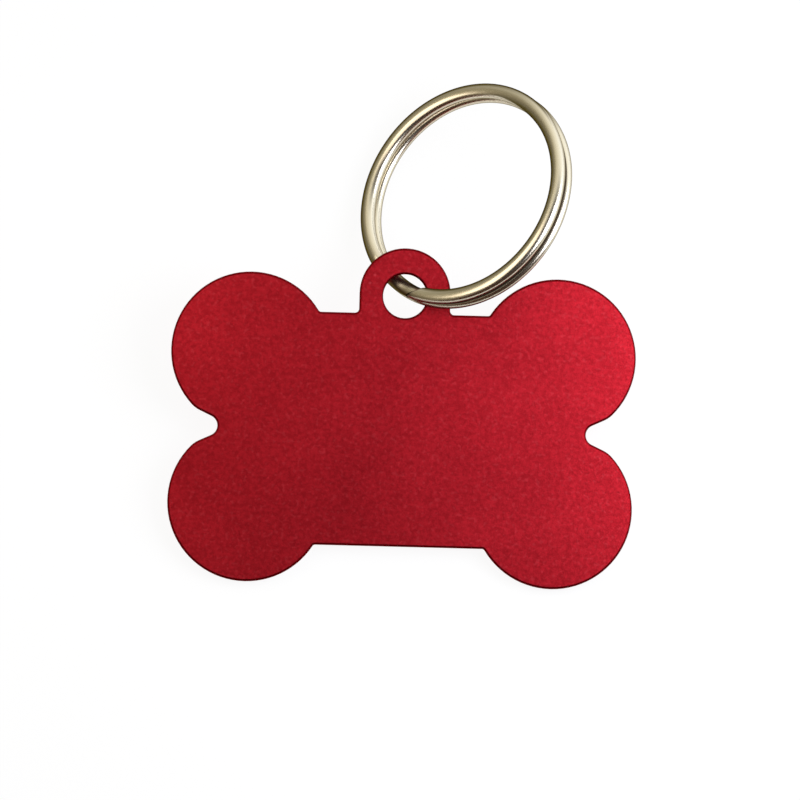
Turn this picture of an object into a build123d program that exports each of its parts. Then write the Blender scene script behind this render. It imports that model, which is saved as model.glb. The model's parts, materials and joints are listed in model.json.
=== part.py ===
from build123d import *
import math
import os

# A bone-shaped pet id tag on its split ring, as it lies on a table, in millimetres and degrees.
# The tag is a flat stamped plate with an ear. The ring is one flat spring wire, wound into two
# turns and threaded through the hole in the ear, which it props up off the table.

# Tag plate: four round lobes on a waist, 38.1 by 25.4 overall without the ear
lobe_radius = 6.5
lobe_spacing_x = 25.1
lobe_spacing_y = 12.4
waist_height = 19.1
waist_fillet = 0.25
plate_thickness = 1.0
plate_edge_chamfer = 0.2

# Notch between the two lobes at each end of the tag
notch_mouth = 2.78
notch_depth = 1.82
notch_tip_radius = 0.85
notch_shoulder_radius = 2.2

# Ear and its hole
ear_width = 7.46
ear_centre_above_waist = 1.65
ear_root_fillet = 0.35
hole_diameter = 3.6
hole_below_ear_centre = 0.2

# Split ring: a flat wire in two turns, with a step where it goes from one turn to the other
ring_outer_diameter = 19.35
wire_width = 1.18
wire_thickness = 0.7
turn_gap = 0.44
step_length = 4.3

# How the ring lies in the hole: which way it points from the tag's long axis, where the wire
# crosses the plate's middle, along that bearing and square to it, and where the upper turn is cut
ring_bearing = 56.9
wire_along_hole = 0.53
wire_across_hole = 0.58
wire_clearance = 0.04
cut_past_crossing = 0.55

# Points on which the gap between the turns is measured: their spacing along the wire, their
# count around it, and how far to either side of the place a turn away is looked at
gap_sample_spacing = 0.1
gap_skin_points = 16
gap_search_reach = 0.2

# How finely corners are told apart and resting angles are worked out
point_tolerance = 0.001
angle_tolerance = 1e-6
rim_samples = 90

lobe_x = lobe_spacing_x / 2
lobe_y = lobe_spacing_y / 2
half_waist = waist_height / 2
half_mouth = notch_mouth / 2
half_ear = ear_width / 2
half_plate = plate_thickness / 2
hole_radius = hole_diameter / 2
rim_radius = hole_radius + plate_edge_chamfer
ear_centre_height = half_waist + ear_centre_above_waist
hole_centre = Vector(0, ear_centre_height - hole_below_ear_centre, 0)
ring_radius = (ring_outer_diameter - wire_width) / 2
wire_edge_radius = wire_thickness / 2
turn_pitch = wire_thickness + turn_gap
stack_height = turn_pitch + wire_thickness
step_angle = math.degrees(step_length / ring_radius)
cut_angle = math.degrees(cut_past_crossing / ring_radius)


def unit(angle):
    """Unit vector in the XY plane, turned this far from the X axis."""
    return Vector(math.cos(math.radians(angle)), math.sin(math.radians(angle)), 0)


def same(a, b):
    """Whether two lengths are the same."""
    return abs(a - b) < point_tolerance


def tag_outline():
    """Bone outline: lobes on a waist, an ear on top, and a rounded V notch at each end."""
    shoulder_x = lobe_x + math.sqrt(lobe_radius**2 - (lobe_y - half_mouth) ** 2)
    tip_reach = notch_depth - notch_tip_radius
    tip_half_angle = math.asin(notch_tip_radius / math.hypot(tip_reach, half_mouth))
    flank_angle = math.atan2(half_mouth, tip_reach) - tip_half_angle
    apex_x = shoulder_x - half_mouth / math.tan(flank_angle)
    with BuildSketch() as outline:
        with GridLocations(lobe_spacing_x, lobe_spacing_y, 2, 2):
            Circle(lobe_radius)
        Rectangle(lobe_spacing_x, waist_height)
        with Locations((0, ear_centre_height)):
            Circle(half_ear)
            Rectangle(ear_width, ear_centre_height, align=(Align.CENTER, Align.MAX))
        for side in (-1, 1):
            shoulders = [(side * shoulder_x, half_mouth), (side * shoulder_x, -half_mouth)]
            Polygon((0, lobe_y), (side * lobe_x, lobe_y), *shoulders,
                    (side * lobe_x, -lobe_y), (0, -lobe_y), align=None)
            Polygon((side * apex_x, 0), *shoulders, align=None, mode=Mode.SUBTRACT)
        for corner, radius in (
            (lambda v: same(abs(v.X), shoulder_x), notch_shoulder_radius),
            (lambda v: same(v.Y, 0), notch_tip_radius),
            (lambda v: same(abs(v.Y), half_waist) and not same(abs(v.X), half_ear), waist_fillet),
            (lambda v: same(v.Y, half_waist) and same(abs(v.X), half_ear), ear_root_fillet),
        ):
            fillet(outline.vertices().filter_by(corner), radius)
        with Locations(hole_centre):
            Circle(hole_radius, mode=Mode.SUBTRACT)
    return outline.sketch


def tag_plate():
    """The plate, centred on the tag's middle plane, with its stamped edges broken all round."""
    plate = extrude(tag_outline(), half_plate, both=True)
    rims = plate.faces().filter_by(Axis.Z).edges()
    return chamfer(rims, plate_edge_chamfer)


def wire_section():
    """Section of the flat wire, round at both sides, with its width along X."""
    return SlotOverall(wire_width, wire_thickness)


def ring_path():
    """Centre line of the wire about the Z axis: upper turn, step down, lower turn."""
    half_turn = (360 - step_angle) / 2
    half_pitch = Vector(0, 0, turn_pitch / 2)
    upper, lower = (
        [CenterArc(level, ring_radius, cut_angle + half * half_turn, half_turn) for half in (0, 1)]
        for level in (half_pitch, -half_pitch)
    )
    middle = math.hypot(ring_radius, turn_pitch / 2) * unit(cut_angle - step_angle / 2)
    bend_down = TangentArc(upper[1] @ 1, middle, tangent=upper[1] % 1)
    bend_level = TangentArc(middle, lower[0] @ 0, tangent=bend_down % 1)
    return Wire([*upper, bend_down, bend_level, *lower])


def split_ring(path):
    """The wire swept along its two turns, with its wide faces square to the ring's axis."""
    start = Plane(origin=path @ 0, x_dir=unit(cut_angle), z_dir=path % 0)
    return sweep(start * wire_section(), path=path)


def least_gap(path):
    """Least distance between points on the wire's skin that lie about a turn apart."""
    rim = wire_section().wire()
    skin = [rim @ (index / gap_skin_points) for index in range(gap_skin_points)]
    count = round(path.length / gap_sample_spacing)
    outward = unit(cut_angle)
    stations = []
    for index in range(count + 1):
        centre = path @ (index / count)
        tangent = path % (index / count)
        outward = (outward - tangent * outward.dot(tangent)).normalized()
        upward = tangent.cross(outward)
        stations.append([centre + outward * p.X + upward * p.Y for p in skin])
    gap = math.inf
    one_turn = round(2 * math.pi * ring_radius / gap_sample_spacing)
    beside = round(gap_search_reach / gap_sample_spacing)
    for index in range(count + 1 - one_turn):
        facing = index + one_turn
        for skin_there in stations[facing - beside : facing + beside + 1]:
            gap = min(gap, *((a - b).length for a in stations[index] for b in skin_there))
    return gap


def ring_axis_at(tilt):
    """The ring's axis when its plane makes this angle with the plate."""
    return across * math.sin(math.radians(tilt)) + Vector(0, 0, math.cos(math.radians(tilt)))


def rim_gap(tilt):
    """Gap at this tilt between the two turns and the hole's front rim, its chamfer taken as round."""
    axis = ring_axis_at(tilt)
    gap = math.inf
    for sample in range(rim_samples):
        rim = hole_centre + unit(ring_bearing - sample * 180 / rim_samples) * rim_radius
        arm = rim + Vector(0, 0, half_plate - plate_edge_chamfer) - ring_centre
        height = arm.dot(axis)
        radius = (arm - axis * height).length
        past_width = max(abs(radius - ring_radius) - wire_width / 2 + wire_edge_radius, 0)
        past_stack = max(abs(height) - stack_height / 2 + wire_edge_radius, 0)
        gap = min(gap, math.hypot(past_width, past_stack) - wire_edge_radius - plate_edge_chamfer)
    return gap


def ring_tilt():
    """Flattest angle between ring and plate at which both turns clear the rim of the hole."""
    flat, upright = 0.0, 90.0
    while upright - flat > angle_tolerance:
        middle = (flat + upright) / 2
        if rim_gap(middle) < wire_clearance:
            flat = middle
        else:
            upright = middle
    return upright


def drop_below_tag_centre(lean):
    """How far the tag's lower lobes and the ring's low side reach down, with the tag leaning."""
    sine = math.sin(math.radians(lean))
    cosine = math.cos(math.radians(lean))
    tag_drop = (lobe_y + lobe_radius - plate_edge_chamfer) * sine + half_plate * cosine
    ring_slant = ring_axis.Y * sine + ring_axis.Z * cosine
    ring_drop = (ring_outer_diameter / 2 - wire_edge_radius) * math.sqrt(1 - ring_slant**2)
    ring_drop += (stack_height / 2 - wire_edge_radius) * ring_slant + wire_edge_radius
    return tag_drop, ring_drop - ring_centre.Y * sine


def table_lean():
    """Angle at which the tag rests on its two lower lobes and on the ring's low side."""
    flat, upright = 0.0, 90.0
    while upright - flat > angle_tolerance:
        middle = (flat + upright) / 2
        tag_drop, ring_drop = drop_below_tag_centre(middle)
        if ring_drop > tag_drop:
            flat = middle
        else:
            upright = middle
    return upright


along = unit(ring_bearing)
across = unit(ring_bearing + 90)
crossing = hole_centre + along * wire_along_hole + across * wire_across_hole
ring_centre = crossing + along * ring_radius
tilt = ring_tilt()
ring_axis = ring_axis_at(tilt)
lean = table_lean()

wire_path = ring_path()
ring_plane = Plane(origin=ring_centre, x_dir=-along, z_dir=ring_axis)
leaning = Rot(lean, 0, 0)
tag = leaning * tag_plate()
ring = leaning * ring_plane.location * split_ring(wire_path)

# The origin goes on the table, under the middle of the whole object
reach = Compound([tag, ring]).bounding_box()
to_table = Pos(-reach.center().X, -reach.center().Y, -reach.min.Z)
nodes = {"tag_plate": to_table * tag, "split_ring": to_table * ring}

os.makedirs("parts", exist_ok=True)
for name, solid in nodes.items():
    solid.label = name
    export_step(solid, f"parts/{name}.step")

placing = to_table * leaning
swing_point = (placing * Pos(*hole_centre)).position
swing_axis = Vector(0, 0, 1).rotate(Axis.X, lean)
loop_centre = (placing * Pos(*ring_centre)).position
loop_axis = ring_axis.rotate(Axis.X, lean)
print(f"ring to plate {tilt:.2f} deg, plate to table {lean:.2f} deg")
print(f"least gap between the ring's turns {least_gap(wire_path):.3f} mm")
print("size", reach.size)
print("tag swings about", swing_point, "along", swing_axis)
print("ring loop centre", loop_centre, "axis", loop_axis)
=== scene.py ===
# %% [markdown]
# A bone-shaped id tag on its split ring
#
# The object is two pieces of metal. The tag is a flat bone, stamped from aluminium sheet, blasted to a
# fine satin and anodised red. The ring is one oval nickel-plated spring wire, wound twice round, that
# goes through the ear of the tag and props that end of it up off the table.
#
# The solid model of both pieces comes first. It stays where it is, and everything below is fitted to it.

# %% Load the solid model
import json
import math

import bmesh
import bpy
from mathutils import Matrix, Vector


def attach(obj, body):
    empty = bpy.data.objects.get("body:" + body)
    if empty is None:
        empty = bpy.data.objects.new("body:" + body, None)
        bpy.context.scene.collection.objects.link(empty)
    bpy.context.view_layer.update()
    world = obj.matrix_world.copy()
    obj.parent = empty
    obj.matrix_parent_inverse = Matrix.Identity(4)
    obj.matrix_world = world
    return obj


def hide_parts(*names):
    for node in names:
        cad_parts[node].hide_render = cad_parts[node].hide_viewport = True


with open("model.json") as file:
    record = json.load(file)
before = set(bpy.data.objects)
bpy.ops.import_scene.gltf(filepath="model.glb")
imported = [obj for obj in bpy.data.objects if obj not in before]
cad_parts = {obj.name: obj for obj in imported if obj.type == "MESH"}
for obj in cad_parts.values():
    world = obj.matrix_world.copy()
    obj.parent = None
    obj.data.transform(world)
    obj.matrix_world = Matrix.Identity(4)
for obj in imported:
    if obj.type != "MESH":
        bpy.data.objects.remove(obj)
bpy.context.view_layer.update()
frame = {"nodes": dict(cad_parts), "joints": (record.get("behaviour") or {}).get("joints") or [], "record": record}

MM = 0.001


# %% [markdown]
# Where the two pieces lie
#
# Neither piece lies square to the world: the tag leans on its ring, and the ring lies aslant in the hole.
# A piece is far easier to model flat, at the origin, so each one gets a frame of its own, and its mesh is
# made there. The numbers could be typed in, but the model already states them: the hinge that the tag
# swings about runs through the middle of the hole, square to the plate, and the mount on the ring gives
# the ring's centre and axis. The ring crosses the plate on the line that is square to both axes.

# %% Frames of the tag and the ring
HOLE_ABOVE_TAG_CENTRE = 11.0 * MM
WORLD_RIGHT = Vector((1, 0, 0))
WORLD_UP = Vector((0, 0, 1))


def own_frame(origin, x_axis, z_axis):
    """Matrix of a piece's own frame, with its origin and two of its axes in the world."""
    matrix = Matrix((x_axis, z_axis.cross(x_axis), z_axis)).transposed().to_4x4()
    matrix.translation = origin
    return matrix


swing = frame["joints"][0]
tag_normal = Vector(swing["axis"]).normalized()
tag_frame = own_frame(Vector(swing["pos_m"]), WORLD_RIGHT, tag_normal)
tag_frame = tag_frame @ Matrix.Translation((0, -HOLE_ABOVE_TAG_CENTRE, 0))

collar_loop = frame["record"]["mounts"][0]
ring_axis = Vector(collar_loop["axis"]).normalized()
towards_hole = tag_normal.cross(ring_axis).normalized()
ring_frame = own_frame(Vector(collar_loop["pos_m"]), towards_hole, ring_axis)
print("tag leans", round(math.degrees(tag_normal.angle(WORLD_UP)), 1), "degrees,",
      "ring to tag", round(math.degrees(tag_normal.angle(ring_axis)), 1), "degrees")

# %% [markdown]
# The camera
#
# The photograph is taken square to the face of the tag, with the tag turned a degree and a half in the
# picture. So the camera looks straight down the tag's own Z axis, and is rolled by that turn. The point
# that it aims at is worked out from where the middle of the tag lies in the picture, so no lens shift is
# needed. The ring stands up to a centimetre nearer than the tag and yet looks no larger, so the camera is
# far away with a long lens, which follows from the distance and from the pixels that a millimetre takes up.

# %% Camera
PICTURE_SIZE = 800
PIXELS_PER_MM = 12.20
TAG_CENTRE_PIXEL = (401.5, 430.4)
TAG_TURN = math.radians(1.5)
CAMERA_DISTANCE = 1.20
SENSOR_WIDTH = 36.0
PLATE_HALF = 0.5 * MM


def picture_to_face(pixel):
    """Point on the front of the tag, in its own frame, that shows at this pixel."""
    right = (pixel[0] - TAG_CENTRE_PIXEL[0]) / PIXELS_PER_MM * MM
    up = (TAG_CENTRE_PIXEL[1] - pixel[1]) / PIXELS_PER_MM * MM
    turned = Matrix.Rotation(TAG_TURN, 3, "Z") @ Vector((right, up, 0))
    return turned + Vector((0, 0, PLATE_HALF))


camera_data = bpy.data.cameras.new("camera")
camera_data.sensor_width = SENSOR_WIDTH
camera_data.lens = CAMERA_DISTANCE / MM * PIXELS_PER_MM / PICTURE_SIZE * SENSOR_WIDTH
camera = bpy.data.objects.new("camera", camera_data)
bpy.context.collection.objects.link(camera)
picture_middle = picture_to_face((PICTURE_SIZE / 2, PICTURE_SIZE / 2))
camera.matrix_world = (tag_frame @ Matrix.Translation(picture_middle + Vector((0, 0, CAMERA_DISTANCE)))
                       @ Matrix.Rotation(TAG_TURN, 4, "Z"))
bpy.context.scene.camera = camera
bpy.context.scene.view_settings.view_transform = "Standard"
print("camera lens", round(camera_data.lens, 1), "mm")

# %% [markdown]
# Shader sums as Python
#
# A finish is built from nodes, and most of the nodes are sums. Wiring each one by hand hides the sum, so
# one small class holds an output socket and lets Python's own signs add the Math nodes. Anything that
# isn't a sum comes from its one method, `add`, which takes the node's type, its settings and its sockets.

# %% A socket that can be summed
def set_stops(ramp, stops):
    """Gives a colour ramp these stops, each a place and a colour."""
    while len(ramp.elements) < len(stops):
        ramp.elements.new(1.0)
    for element, (place, colour) in zip(ramp.elements, stops):
        element.position = place
        element.color = (*colour, 1)


class Signal:
    """An output socket of a node tree. Sums on it add Math nodes to the tree."""

    def __init__(self, tree, socket=None):
        self.tree = tree
        self.socket = socket

    def add(self, kind, settings=None, sockets=None, out=0):
        """Adds a node of this kind: settings first, then values or links for its sockets."""
        node = self.tree.nodes.new(kind)
        for name, value in (settings or {}).items():
            if name == "stops":
                set_stops(node.color_ramp, value)
            else:
                setattr(node, name, value)
        for key, value in (sockets or {}).items():
            if isinstance(value, Signal):
                self.tree.links.new(value.socket, node.inputs[key])
            else:
                node.inputs[key].default_value = value
        return Signal(self.tree, node.outputs[out] if node.outputs else None)

    def sum(self, operation, first, second):
        """A Math node on two values, each a number or a signal."""
        return self.add("ShaderNodeMath", {"operation": operation}, {0: first, 1: second})

    def __add__(self, other):
        return self.sum("ADD", self, other)

    def __sub__(self, other):
        return self.sum("SUBTRACT", self, other)

    def __rsub__(self, other):
        return self.sum("SUBTRACT", other, self)

    def __mul__(self, other):
        return self.sum("MULTIPLY", self, other)

    __radd__ = __add__
    __rmul__ = __mul__


print("signs that add Math nodes: + - *")

# %% [markdown]
# A few nodes come up again and again: a smooth rise between two values, a mix of two colours, a cloudy
# noise, and a mark that the mesh carries. Each gets a short name of its own, so that a finish further down
# reads as a recipe and not as wiring.

# %% Nodes by name
def eased(signal, low, high):
    """A smooth rise from 0 to 1 as the signal goes from low to high."""
    return signal.add("ShaderNodeMapRange", {"interpolation_type": "SMOOTHSTEP"},
                      {"Value": signal, "From Min": low, "From Max": high})


def mixed(factor, first, second):
    """A colour between two: each is a colour or a signal."""
    ends = {"A": first, "B": second}
    ends = {key: end if isinstance(end, Signal) else (*end, 1) for key, end in ends.items()}
    return factor.add("ShaderNodeMix", {"data_type": "RGBA"}, {"Factor": factor, **ends}, out="Result")


def noise(place, scale, detail, roughness=0.5):
    """Cloudy noise with this many lumps to a unit of the place, and with finer lumps added by detail."""
    return place.add("ShaderNodeTexNoise", sockets={"Vector": place, "Scale": scale, "Detail": detail,
                                                    "Roughness": roughness})


def marked(start, name):
    """A mark that the mesh carries at its points, from 0 to 1."""
    return start.add("ShaderNodeAttribute", {"attribute_name": name}, out="Fac")


def new_finish(name):
    """An empty material, and a signal to start its nodes from."""
    finish = bpy.data.materials.new(name)
    finish.use_nodes = True
    finish.node_tree.nodes.clear()
    return finish, Signal(finish.node_tree)


print("named nodes:", [made.__name__ for made in (eased, mixed, noise, marked)])

# %% [markdown]
# The stage: a room, soft lamps and a white table
#
# Polished wire has hardly any colour of its own, so it shows the room. A room of one grey would make it look
# like plastic. This room goes from a dim olive wall on the left to a bright window on the right, with a
# dark brown front and a dim ceiling. The walls are one colour ramp from left to right, and the front and the
# ceiling are mixed in by how far a direction points their way.

# %% Room
WALLS = [
    (0.00, (0.26, 0.22, 0.12)),
    (0.09, (0.46, 0.42, 0.29)),
    (0.17, (0.74, 0.70, 0.56)),
    (0.38, (1.15, 1.12, 1.00)),
    (0.63, (1.35, 1.36, 1.32)),
    (0.85, (1.45, 1.52, 1.60)),
]
FRONT_WAY = (-90, 0)
FRONT_EDGES = (80, 45)
FRONT = (0.06, 0.024, 0.011)
CEILING_WAY = (-90, 80)
CEILING_EDGES = (50, 25)
CEILING = (0.025, 0.018, 0.013)

world = bpy.data.worlds.new("room")
bpy.context.scene.world = world
world.use_nodes = True
world.node_tree.nodes.clear()
room = Signal(world.node_tree)
direction = room.add("ShaderNodeTexCoord", out="Generated")
rightward = room.add("ShaderNodeSeparateXYZ", sockets={0: direction}, out="X")


def towards(way, edges):
    """How far a direction points this way, by azimuth and elevation: 0 and 1 at these angles from it."""
    azimuth, elevation = (math.radians(angle) for angle in way)
    flat = math.cos(elevation)
    aim = (flat * math.cos(azimuth), flat * math.sin(azimuth), math.sin(elevation))
    along = room.add("ShaderNodeVectorMath", {"operation": "DOT_PRODUCT"}, {0: direction, 1: aim},
                     out="Value")
    return eased(along, *(math.cos(math.radians(angle)) for angle in edges))


walls = room.add("ShaderNodeValToRGB", {"stops": WALLS}, {"Fac": 0.5 + 0.5 * rightward})
walls = mixed(towards(FRONT_WAY, FRONT_EDGES), walls, FRONT)
walls = mixed(towards(CEILING_WAY, CEILING_EDGES), walls, CEILING)
backdrop = room.add("ShaderNodeBackground", sockets={"Color": walls, "Strength": 1.0})
room.add("ShaderNodeOutputWorld", sockets={"Surface": backdrop})
print("room:", len(world.node_tree.nodes), "nodes,", len(WALLS), "wall colours")

# %% [markdown]
# The tag is flat and satin, so a far lamp would light it evenly from end to end. In the photograph its right
# end is twice as bright as its middle, and its upper left lobe is a little brighter too. That takes a small
# lamp close by on each side: a strong cool one, as from a window, and a weak warm one. Their places are in
# the tag's own frame. They are hidden from the camera alone, so they stand in no view's way.

# %% Lamps
LAMP_SIZE = 0.07
RIGHT_LAMP_PLACE = (0.060, 0.017, 0.070)
RIGHT_LAMP_RADIANCE = 5.6
RIGHT_LAMP_COLOUR = (0.98, 1.0, 1.15)
LEFT_LAMP_PLACE = (-0.055, 0.026, 0.070)
LEFT_LAMP_RADIANCE = 1.9
LEFT_LAMP_COLOUR = (1.0, 0.90, 0.80)


def softbox(name, place, radiance, colour):
    """A square soft lamp over the tag, in metres, that faces it. Radiance 1 is as bright as a white wall."""
    lamp = bpy.data.lights.new(name, "AREA")
    lamp.size = LAMP_SIZE
    lamp.energy = math.pi * LAMP_SIZE**2 * radiance
    lamp.color = colour
    box = bpy.data.objects.new(name, lamp)
    box.matrix_world = (tag_frame @ Matrix.Translation(place)
                        @ Vector(place).to_track_quat("Z", "Y").to_matrix().to_4x4())
    box.visible_camera = False
    bpy.context.collection.objects.link(box)


softbox("right_lamp", RIGHT_LAMP_PLACE, RIGHT_LAMP_RADIANCE, RIGHT_LAMP_COLOUR)
softbox("left_lamp", LEFT_LAMP_PLACE, LEFT_LAMP_RADIANCE, LEFT_LAMP_COLOUR)

# %% [markdown]
# The table is a pale disc. Lamps strong enough to turn it white would bleach the tag, and a table that only
# glowed would lose the object's shadow. So part of its light is its own, for the rays that see it directly,
# in metal or through glass, and the rest is the light that falls on it, which holds the shadow.

# %% Table
TABLE_RADIUS = 2.0
TABLE_CORNERS = 96
TABLE_COLOUR = (0.9, 0.9, 0.9, 1)
TABLE_OWN_LIGHT = 0.92
WHITE = (1, 1, 1, 1)

table_mesh = bmesh.new()
bmesh.ops.create_circle(table_mesh, cap_ends=True, segments=TABLE_CORNERS, radius=TABLE_RADIUS)
table_data = bpy.data.meshes.new("table")
table_mesh.to_mesh(table_data)
table_mesh.free()
table = bpy.data.objects.new("table", table_data)
bpy.context.collection.objects.link(table)

table_finish, start = new_finish("white_table")
rays = "ShaderNodeLightPath"
seen = start.add(rays, out="Is Camera Ray") + start.add(rays, out="Is Glossy Ray")
seen = seen + start.add(rays, out="Is Transmission Ray")
lit = start.add("ShaderNodeBsdfDiffuse", sockets={"Color": TABLE_COLOUR})
own = start.add("ShaderNodeEmission", sockets={"Color": WHITE, "Strength": 1.0})
both = start.add("ShaderNodeMixShader", sockets={0: seen * TABLE_OWN_LIGHT, 1: lit, 2: own})
start.add("ShaderNodeOutputMaterial", sockets={"Surface": both})
table_data.materials.append(table_finish)
print("table radius", TABLE_RADIUS, "m")

# %% [markdown]
# Closed loops
#
# The edge of the tag, the edge of its hole and the section of the wire are all closed loops: the last point
# joins up with the first. Counting round the end could be written out each time, but two short helpers say
# it in words. The area inside a loop also tells which way round it runs.

# %% Loops of points
def after_each(points):
    """The point after each one of a closed loop."""
    return points[1:] + points[:1]


def before_each(points):
    """The point before each one of a closed loop."""
    return points[-1:] + points[:-1]


def area_of(points):
    """Area inside a loop of points, positive where it runs anticlockwise."""
    return sum(here.cross(after) for here, after in zip(points, after_each(points))) / 2


unit_square = [Vector(corner) for corner in ((0, 0), (1, 0), (1, 1), (0, 1))]
print("a unit square, anticlockwise, has an area of", area_of(unit_square))

# %% [markdown]
# The tag's outline
#
# A bone outline could be drawn again from circles, but then it could drift from the solid model. Instead
# it is read from the solid: the edges where the upright wall of the plate meets its broken corner form two
# closed loops, the outline and the hole. They are put in order by walking from edge to edge, and turned so
# that the metal is always on the left.

# %% Outline and hole
SAME_POINT = 1e-6
UPRIGHT = 0.1


def wall_edges(mesh):
    """Edges along the front of the plate's upright wall."""
    def is_wall(face):
        return abs(face.normal.z) < UPRIGHT

    return {edge for edge in mesh.edges
            if min(v.co.z for v in edge.verts) > 0
            and sum(is_wall(face) for face in edge.link_faces) == 1}


def walk(edges):
    """Takes one closed loop out of a set of edges, as points in order from the first edge of the mesh."""
    edge = min(edges, key=lambda e: e.index)
    edges.remove(edge)
    first, corner = edge.verts
    points = [first.co.xy]
    while corner is not first:
        points.append(corner.co.xy)
        edge = next(e for e in corner.link_edges if e in edges)
        edges.remove(edge)
        corner = edge.other_vert(corner)
    return points


solid = bmesh.new()
solid.from_mesh(frame["nodes"]["tag_plate"].data)
solid.transform(tag_frame.inverted())
bmesh.ops.remove_doubles(solid, verts=solid.verts, dist=SAME_POINT)
solid.normal_update()
solid.edges.index_update()
unwalked = wall_edges(solid)
loops = []
while unwalked:
    loops.append(walk(unwalked))
solid.free()
outline, hole = sorted(loops, key=lambda points: -abs(area_of(points)))
if area_of(outline) < 0:
    outline.reverse()
if area_of(hole) > 0:
    hole.reverse()
print("outline", len(outline), "points,", "hole", len(hole), "points,",
      "area", round((area_of(outline) + area_of(hole)) / MM**2, 1), "mm2")

# %% [markdown]
# The tag's plate
#
# Stamping leaves a sharp edge, and tumbling in a drum of chips then rolls it over. A bevel modifier could
# round it, but the shape of the roll, with painted shade on it, is what draws the thin dark line along the
# edge of the tag, so it is modelled: every loop is repeated in rows, each a little further in and a little
# higher, along a quarter of an ellipse. One more flat row inside the roll keeps the face's shading flat.

# %% Rolled edge
ROLL_WIDTH = 0.16 * MM
ROLL_DEPTH = 0.24 * MM
ROLL_STEPS = 7
FLAT_MARGIN = 0.06 * MM


def inward(points):
    """Direction into the metal at each point of a loop that has the metal on its left."""
    found = []
    for before, here, after in zip(before_each(points), points, after_each(points)):
        travel = (here - before).normalized() + (after - here).normalized()
        found.append(Vector((-travel.y, travel.x)).normalized())
    return found


def roll_rows():
    """Rows of the rolled edge, from the middle of the wall to the face: inset, height and how much painted shade
    it gets.
    """
    rows = []
    for step in range(ROLL_STEPS + 1):
        turn = math.pi / 2 * step / ROLL_STEPS
        inset = ROLL_WIDTH * (1 - math.cos(turn))
        height = PLATE_HALF - ROLL_DEPTH * (1 - math.sin(turn))
        rows.append((inset, height, 1 - step / (ROLL_STEPS + 1)))
    return rows + [(ROLL_WIDTH + FLAT_MARGIN, PLATE_HALF, 0.0)]


print("rolled edge:", len(roll_rows()), "rows a side")

# %% [markdown]
# The plate is closed from those rows. Bands of faces join one row to the next, from the back to the front,
# round the outline and round the hole. A grid fill wouldn't find its way round the hole, so the two flat
# faces are filled with triangles between their edges. They are flat, so the triangles don't show. The mesh
# also carries how much painted shade each row gets, and the place on the tag as texture coordinates.

# %% Plate mesh
def plate_mesh():
    """The plate with its rolled edges, in the tag's own frame, marked for painted edge shade from 0 on its faces
    to 1.
    """
    mesh = bmesh.new()
    wear = mesh.verts.layers.float.new("wear")
    places = mesh.loops.layers.uv.new("on_tag")
    front = roll_rows()
    rows = [(inset, -height, edge_darkness) for inset, height, edge_darkness in reversed(front)] + front
    face_edges = {0: [], len(rows) - 1: []}
    for points in (outline, hole):
        sides = inward(points)
        rings = []
        for inset, height, edge_darkness in rows:
            ring = [mesh.verts.new((*(p + side * inset), height)) for p, side in zip(points, sides)]
            for vert in ring:
                vert[wear] = edge_darkness
            rings.append(ring)
        for low, high in zip(rings, rings[1:]):
            for a, b in zip(range(-1, len(points) - 1), range(len(points))):
                mesh.faces.new((low[a], low[b], high[b], high[a]))
        for row, edges in face_edges.items():
            ring = rings[row]
            edges += [mesh.edges.get((ring[a - 1], ring[a])) for a in range(len(ring))]
    for edges in face_edges.values():
        bmesh.ops.triangle_fill(mesh, use_beauty=True, edges=edges)
    bmesh.ops.recalc_face_normals(mesh, faces=mesh.faces)
    for face in mesh.faces:
        for corner in face.loops:
            corner[places].uv = corner.vert.co.xy
    return mesh


def new_piece(name, mesh, matrix):
    """A smooth-shaded object from this mesh, which is moved out of its own frame into the world."""
    mesh.transform(matrix)
    data = bpy.data.meshes.new(name)
    mesh.to_mesh(data)
    mesh.free()
    data.shade_smooth()
    piece = bpy.data.objects.new(name, data)
    bpy.context.collection.objects.link(piece)
    return piece


tag = new_piece("bone_tag", plate_mesh(), tag_frame)
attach(tag, "tag")
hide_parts("tag_plate")
print("bone tag", len(tag.data.polygons), "faces")

# %% [markdown]
# The split ring
#
# A split ring is wound from one wire: it goes nearly once round, steps down by its own thickness, and goes
# round again. Two rings side by side would look alike from afar, but they would have neither the step nor
# the cut ends, and those show in the hole of the ear. So one section is carried along one line. The solid
# model holds its turns apart; here they nearly touch, as the spring in the wire makes them. The upper end
# is cut back a little from where the solid ends, and the lower end lies under the ear.

# %% Ring sizes
WIRE_WIDTH = 1.26 * MM
WIRE_THICKNESS = 0.97 * MM
TURN_GAP = 0.04 * MM
STEP_LENGTH = 4.3 * MM
CUT_PAST_HOLE_LINE = 0.5 * MM
UPPER_TRIM = 1.35 * MM
LOWER_END_PAST_STEP = 0.25 * MM
SKIN_INSET = 0.01 * MM

to_ring = ring_frame.inverted()
reach = [(to_ring @ v.co).xy.length for v in frame["nodes"]["split_ring"].data.vertices]
RING_RADIUS = max(reach) - SKIN_INSET - WIRE_WIDTH / 2
TURN_PITCH = WIRE_THICKNESS + TURN_GAP
STEP_ANGLE = STEP_LENGTH / RING_RADIUS
CUT_ANGLE = CUT_PAST_HOLE_LINE / RING_RADIUS
START_ANGLE = UPPER_TRIM / RING_RADIUS
WOUND_ANGLE = 4 * math.pi - STEP_ANGLE + LOWER_END_PAST_STEP / RING_RADIUS
print("ring radius", round(RING_RADIUS / MM, 3), "mm, wire", round(WIRE_WIDTH / MM, 3), "mm wide,",
      round((WOUND_ANGLE - START_ANGLE) * RING_RADIUS / MM, 1), "mm long")

# %% [markdown]
# The step is a smooth fall from one turn to the other, and most of it comes early, under the ear, so that
# the wire is already low where it goes under the rim of the hole. A ring that has been opened never quite
# closes again: past the step the lower wire stands a hair further from the upper one for a while. A curve
# drawn by hand could follow all that, but a formula for the height at each angle keeps the turns even.

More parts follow.
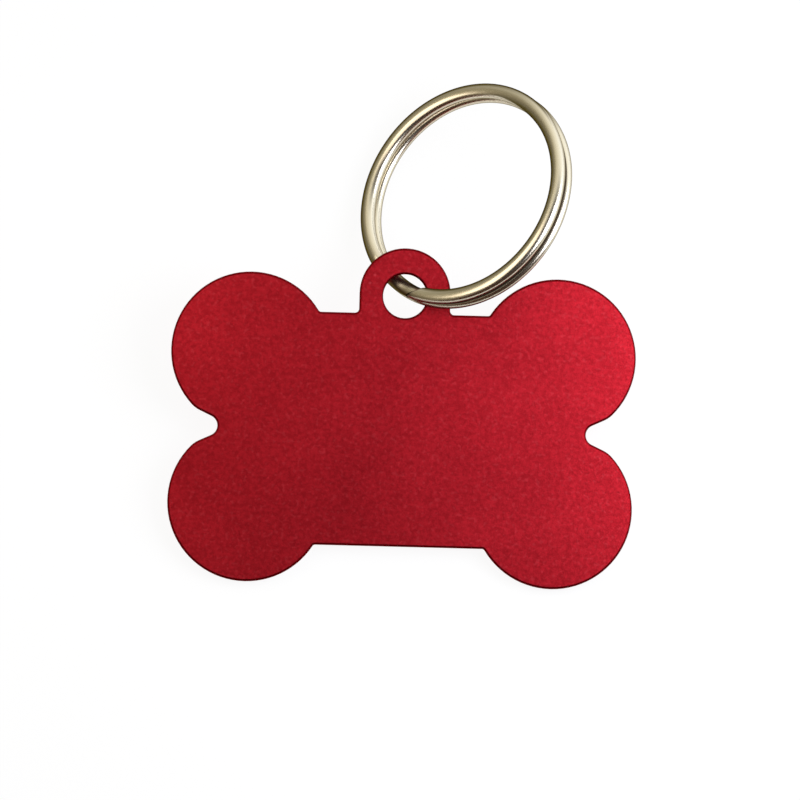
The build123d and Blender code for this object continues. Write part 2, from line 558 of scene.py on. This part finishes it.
# %% Wire line
STEP_LEAD = 0.8
SPREAD = 0.08 * MM
SPREAD_FROM = (math.radians(8), math.radians(30))
SPREAD_TO = (math.radians(125), math.radians(175))
TANGENT_STEP = 1e-4


def smooth(value, low, high):
    """A smooth rise from 0 to 1 as the value goes from low to high."""
    part = min(max((value - low) / (high - low), 0), 1)
    return part * part * (3 - 2 * part)


def wire_height(turned):
    """Height of the wire after it has been wound through this angle."""
    down = (turned - (2 * math.pi - STEP_ANGLE)) / STEP_ANGLE
    past_step = CUT_ANGLE + turned - 2 * math.pi
    spread = SPREAD * smooth(past_step, *SPREAD_FROM) * (1 - smooth(past_step, *SPREAD_TO))
    return TURN_PITCH / 2 * math.cos(math.pi * min(max(down, 0), 1) ** STEP_LEAD) - spread


def wire_point(turned):
    """Point on the middle of the wire after it has been wound through this angle."""
    angle = CUT_ANGLE + turned
    return Vector((RING_RADIUS * math.cos(angle), RING_RADIUS * math.sin(angle), wire_height(turned)))


def wire_axes(turned):
    """Point on the middle of the wire, and the ways along it, out from the ring and up through the wire."""
    at = wire_point(turned)
    along = (wire_point(turned + TANGENT_STEP) - wire_point(turned - TANGENT_STEP)).normalized()
    outward = Vector((at.x, at.y, 0)).normalized()
    return at, along, outward, outward.cross(along)


print("wire falls", round((wire_height(START_ANGLE) - wire_height(WOUND_ANGLE)) / MM, 2), "mm in all")

# %% [markdown]
# The wire is a plain oval, a little wider than it is thick. A flat strip would be simpler, but it is the
# crowned top that draws a dark line along one side of each turn and a pale one along the other. Each point
# of the section also gets the way that it faces and its distance round the wire, for the finish.

# %% Wire section
SECTION_POINTS = 48


def wire_section():
    """Section of the oval wire: outward and upward distances, anticlockwise."""
    turns = [2 * math.pi * step / SECTION_POINTS for step in range(SECTION_POINTS)]
    return [Vector((WIRE_WIDTH / 2 * math.cos(turn), WIRE_THICKNESS / 2 * math.sin(turn))) for turn in turns]


def facings(points):
    """The way that each point of a section faces, square to the chord between its neighbours."""
    chords = [after - before for before, after in zip(before_each(points), after_each(points))]
    return [Vector((chord.y, -chord.x)).normalized() for chord in chords]


def girths(points):
    """Distance round the wire of each point of a section, and of the first one again."""
    found = [0.0]
    for here, after in zip(points, after_each(points)):
        found.append(found[-1] + (after - here).length)
    return found


section = wire_section()
facing = facings(section)
girth = girths(section)
print("section of", len(section), "points,", round(girth[-1] / MM, 2), "mm round")

# %% [markdown]
# The cutter leaves a slanted end on the wire, with its corner broken. A boolean could slice the wire there,
# but it would leave slivers along the cut. Instead the points near the upper end are pushed along the wire,
# by less and less away from the tip, and one more row of points at each end, drawn in, makes the broken
# corner. The lower end can't be seen and stays square.

# %% Stations along the wire
STATION_ANGLE = math.radians(0.9)
STATIONS = round((WOUND_ANGLE - START_ANGLE) / STATION_ANGLE)
END_CHAMFER = 0.13 * MM
END_SLANT = 1.2
SLANT_REACH = 2.5 * MM


def turned_at(station):
    """Angle that the wire has been wound through at a station."""
    return START_ANGLE + (WOUND_ANGLE - START_ANGLE) * min(max(station / STATIONS, 0), 1)


def station_points(station):
    """Points round the wire at a station. One before the first and one past the last close its ends."""
    turned = turned_at(station)
    at, along, outward, upward = wire_axes(turned)
    from_tip = (turned - START_ANGLE) * RING_RADIUS
    slant = END_SLANT * max(1 - from_tip / SLANT_REACH, 0)
    drawn_in = END_CHAMFER if station < 0 or station > STATIONS else 0.0
    pushed = {0: END_CHAMFER, STATIONS: -END_CHAMFER}.get(station, 0.0)
    points = []
    for p in section:
        shrunk = p * (1 - drawn_in / p.length)
        points.append(at + outward * shrunk.x + upward * shrunk.y + along * (pushed - slant * p.x))
    return points


print(STATIONS, "stations,", round(STATION_ANGLE * RING_RADIUS / MM, 3), "mm apart")

# %% [markdown]
# The finish of the wire changes in three places, and all three are painted shade: the cut ends are bare steel
# painted darker as shadow, the side that faces up and left in the picture is a painted dark reflection of the
# room, and the groove between the turns is painted with the shade that falls between them. A finish could work
# that out from the world's axes, but the colour would then slide over the ring when it moves. So the mesh marks
# its points, from where they lie on the wire and which way they face as the ring lies here.

# %% Marks on the wire
# The cut ends are bare steel painted darker as shadow, over this reach from each end.
END_DARK_REACH = 0.4 * MM
# Painted shade in the groove fades in over this reach about the upper cut end.
GROOVE_SHADE_REACH = 0.2 * MM
# The flank facing this way is painted dark olive, a painted reflection of a dark room.
DARK_FLANK_WAY = (-0.75, 0.65, 0.0)
DARK_FLANK_EDGES = (0.0, 0.25)
UNDERSIDE_EDGES = (-0.3, 0.05)
RING_UP = Vector((0, 0, 1))

dark_flank_way = to_ring.to_3x3() @ Vector(DARK_FLANK_WAY).normalized()
skyward = to_ring.to_3x3() @ WORLD_UP


def cut_mark(turned):
    """1 at the cut ends of the wire, 0 where their dark steel and painted shadow end."""
    from_end = min(turned - START_ANGLE, WOUND_ANGLE - turned) * RING_RADIUS
    return 1 - smooth(from_end, 0, END_DARK_REACH)


def dark_flank_mark(outward, normal):
    """How far a place lies on the flank of the wire that is painted dark as a reflection: neither its top nor its
    underside does.
    """
    faces = outward * normal.x + RING_UP * normal.y
    lift = faces.dot(skyward)
    flank = math.sqrt(max(1 - lift**2, 0)) * smooth(lift, *UNDERSIDE_EDGES)
    return flank * smooth(faces.dot(dark_flank_way), *DARK_FLANK_EDGES)


def covered(turned, across):
    """Where the groove is painted with shade: on the first half turn, and on the lower turn from the upper cut end
    on.
    """
    past_end = (turned - 2 * math.pi) * RING_RADIUS - UPPER_TRIM + END_SLANT * across
    return 1.0 if turned < math.pi else smooth(past_end, -GROOVE_SHADE_REACH, GROOVE_SHADE_REACH)


def groove_mark(height, turned, p, normal):
    """How far a place faces the other turn, where shade is painted into the groove."""
    level = height / (TURN_PITCH / 2)
    return max(-level * normal.y, 0.0) * covered(turned, p.x)


# The side printed here is the one painted dark, as a reflection of the room.
print("tarnished side faces", [round(v, 2) for v in dark_flank_way], "in the ring's own frame")

# %% [markdown]
# The mesh itself is now short: a row of points at each station, a band of faces from one row to the next,
# and a face on each end. A curve with a bevel would make much the same tube, but it couldn't carry the marks
# or the slanted end. Every corner of a face keeps its length along the wire and its girth, for the texture.

# %% Ring mesh
def ring_mesh():
    """The wound wire in the ring's own frame, marked, with its length and girth as texture coordinates."""
    mesh = bmesh.new()
    cut, tarnish, groove = (mesh.verts.layers.float.new(name) for name in ("cut", "tarnish", "groove"))
    lengths = mesh.loops.layers.uv.new("along_wire")
    rows = []
    for station in range(-1, STATIONS + 2):
        turned = turned_at(station)
        at, _, outward, _ = wire_axes(turned)
        row = [mesh.verts.new(point) for point in station_points(station)]
        for vert, p, normal in zip(row, section, facing):
            vert[cut] = cut_mark(turned)
            vert[tarnish] = dark_flank_mark(outward, normal)
            vert[groove] = groove_mark(at.z, turned, p, normal)
        rows.append((turned * RING_RADIUS, row))
    for (u0, low), (u1, high) in zip(rows, rows[1:]):
        for a in range(len(section)):
            b = (a + 1) % len(section)
            face = mesh.faces.new((low[a], low[b], high[b], high[a]))
            places = ((u0, girth[a]), (u0, girth[a + 1]), (u1, girth[a + 1]), (u1, girth[a]))
            for corner, place in zip(face.loops, places):
                corner[lengths].uv = place
    mesh.faces.new(reversed(rows[0][1]))
    mesh.faces.new(rows[-1][1])
    bmesh.ops.recalc_face_normals(mesh, faces=mesh.faces)
    return mesh


ring = new_piece("wound_split_ring", ring_mesh(), ring_frame)
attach(ring, "ring")
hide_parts("split_ring")
print("split ring", len(ring.data.polygons), "faces")

# %% [markdown]
# Two metals
#
# Both pieces are bare metal with a fine relief, so both finishes end alike: a metal shader with a colour,
# a roughness, a bump, and a tint for light that grazes it. The shader could be written out twice, but then
# the two could come apart, so one function ends them both.

# %% How a metal finish ends
def dress(piece, finish, colour, roughness, relief, depth, grazing):
    """Ends a metal finish in its shader, with a relief of this depth, and gives it to the piece."""
    bump = colour.add("ShaderNodeBump", sockets={"Strength": 1.0, "Distance": depth, "Height": relief})
    skin = colour.add("ShaderNodeBsdfPrincipled", sockets={
        "Base Color": colour, "Metallic": 1.0, "Roughness": roughness, "Normal": bump,
        "Specular Tint": grazing})
    colour.add("ShaderNodeOutputMaterial", sockets={"Surface": skin})
    piece.data.materials.append(finish)
    print(finish.name, "on", piece.name, "with", len(finish.node_tree.nodes), "nodes")


print("metal pieces to dress:", tag.name, "and", ring.name)

# %% [markdown]
# Red anodised aluminium
#
# Blasting pits the sheet all over with dents a tenth to a third of a millimetre across, and the dye then
# sinks into the clear oxide. So the finish is metal, not paint: a rough mirror with a red colour. A picture
# of the grain would repeat, so it is made of three noises: faint clouds, the grain itself, and a few paler
# grains that give the sparkle.

# %% Satin grain and dye
RED = (0.63, 0.021, 0.034)
DEEP_RED = (0.43, 0.012, 0.020)
PALE_RED = (0.78, 0.075, 0.095)
CLOUD_SCALE = 160.0
CLOUD_DETAIL = 3.0
CLOUD_SHARE = 0.3
GRAIN_SCALE = 3000.0
GRAIN_DETAIL = 2.0
GRAIN_ROUGHNESS = 0.6
GRAIN_EDGES = (0.30, 0.70)
SPARKLE_SCALE = 3400.0
SPARKLE_EDGES = (0.58, 0.80)
SPARKLE_SHARE = 0.20

red_finish, start = new_finish("red_anodised")
place = start.add("ShaderNodeTexCoord", out="Object")
clouds = noise(place, CLOUD_SCALE, CLOUD_DETAIL)
grain = noise(place, GRAIN_SCALE, GRAIN_DETAIL, GRAIN_ROUGHNESS)
sparkle = noise(place, SPARKLE_SCALE, 0.0)
shade = CLOUD_SHARE * clouds + (1 - CLOUD_SHARE) * eased(grain, *GRAIN_EDGES)
red = mixed(shade, DEEP_RED, RED)
red = mixed(SPARKLE_SHARE * eased(sparkle, *SPARKLE_EDGES), red, PALE_RED)
print("grain of", round(1 / GRAIN_SCALE / MM, 2), "mm, clouds of", round(1 / CLOUD_SCALE / MM, 1), "mm")

# %% [markdown]
# The rolled edge, which the mesh has marked, is painted a deeper red as shade, and where the ring has
# knocked the ear there are two pale nicks. Dents in the mesh would be too small to see, so each nick is a
# soft pale spot about the point on the face that shows at its pixel in the photograph.

# %% Nicks and edges
SHADED_EDGE_RED = (0.14, 0.003, 0.005)
GRAZING_RED = (0.55, 0.03, 0.05, 1)
EDGE_SHADE_EDGES = (0.0, 0.2)
NICK_PIXELS = ((375, 275), (370, 283))
NICK_EDGES = (0.06 * MM, 0.16 * MM)
NICK_SHARE = 0.5
SATIN_ROUGHNESS = 0.36
CLOUD_ROUGHNESS = 0.08
DENT_DEPTH = 0.008 * MM

on_tag = start.add("ShaderNodeUVMap", {"uv_map": "on_tag"})
for pixel in NICK_PIXELS:
    middle = (*picture_to_face(pixel).xy, 0)
    away = start.add("ShaderNodeVectorMath", {"operation": "DISTANCE"}, {0: on_tag, 1: middle}, out="Value")
    red = mixed(NICK_SHARE * (1 - eased(away, *NICK_EDGES)), red, PALE_RED)
# Painted shade: the rolled edge and wall are darkened to a deeper red.
red = mixed(eased(marked(start, "wear"), *EDGE_SHADE_EDGES), red, SHADED_EDGE_RED)
dress(tag, red_finish, red, SATIN_ROUGHNESS + CLOUD_ROUGHNESS * clouds, grain, DENT_DEPTH, GRAZING_RED)

# %% [markdown]
# Nickel-plated wire
#
# Nickel is a slightly yellow mirror. The wire was drawn through a die before it was wound, so the faint
# lines in it all run along its length: the texture is stretched that way by the wire's own coordinates. The
# marks of the mesh do the rest, and they paint shade: the side of the wire that faces up and left as the ring
# lies here is painted olive as a dark reflection of the room, the groove between the turns is painted dark as
# the shade between them, and the cut ends are bare steel painted darker still, as shadow.

# %% Nickel finish
NICKEL = (0.68, 0.62, 0.49)
PAINTED_DARK_FLANK = (0.125, 0.10, 0.038)
GROOVE_SHADE = (0.08, 0.06, 0.04)
STEEL_AND_SHADOW = (0.030, 0.016, 0.010)
GRAZING_OLIVE = (0.10, 0.08, 0.02, 1)
LINES_SCALE = (90.0, 8000.0, 1.0)
LINES_DETAIL = 2.0
LINES_DEPTH = 0.0001 * MM
RAGGED = 0.15
OLIVE_EDGES = (0.40, 0.82)
GROOVE_SHADE_EDGES = (0.90, 1.0)
NICKEL_ROUGHNESS = 0.19
LINES_ROUGHNESS = 0.08
STEEL_ROUGHNESS = 0.3
GROOVE_SHADE_ROUGHNESS = 0.3
OLIVE_ROUGHNESS = 0.15

nickel_finish, start = new_finish("warm_nickel")
place = start.add("ShaderNodeUVMap", {"uv_map": "along_wire"})
stretched = start.add("ShaderNodeMapping", sockets={"Vector": place, "Scale": LINES_SCALE})
lines = noise(stretched, 1.0, LINES_DETAIL)
cut = marked(start, "cut")
olive = eased(marked(start, "tarnish") + RAGGED * (lines - 0.5), *OLIVE_EDGES)
groove_shade = eased(marked(start, "groove"), *GROOVE_SHADE_EDGES)
# Painted reflection: the flank facing up and left is painted dark olive.
metal = mixed(olive, NICKEL, PAINTED_DARK_FLANK)
# Painted shade: the groove between the turns is darkened.
metal = mixed(groove_shade, metal, GROOVE_SHADE)
# Bare steel at the cut ends, painted near black as shadow.
metal = mixed(cut, metal, STEEL_AND_SHADOW)
roughness = NICKEL_ROUGHNESS + LINES_ROUGHNESS * lines + STEEL_ROUGHNESS * cut
roughness = roughness + GROOVE_SHADE_ROUGHNESS * groove_shade + OLIVE_ROUGHNESS * olive
dress(ring, nickel_finish, metal, roughness, lines, LINES_DEPTH, GRAZING_OLIVE)
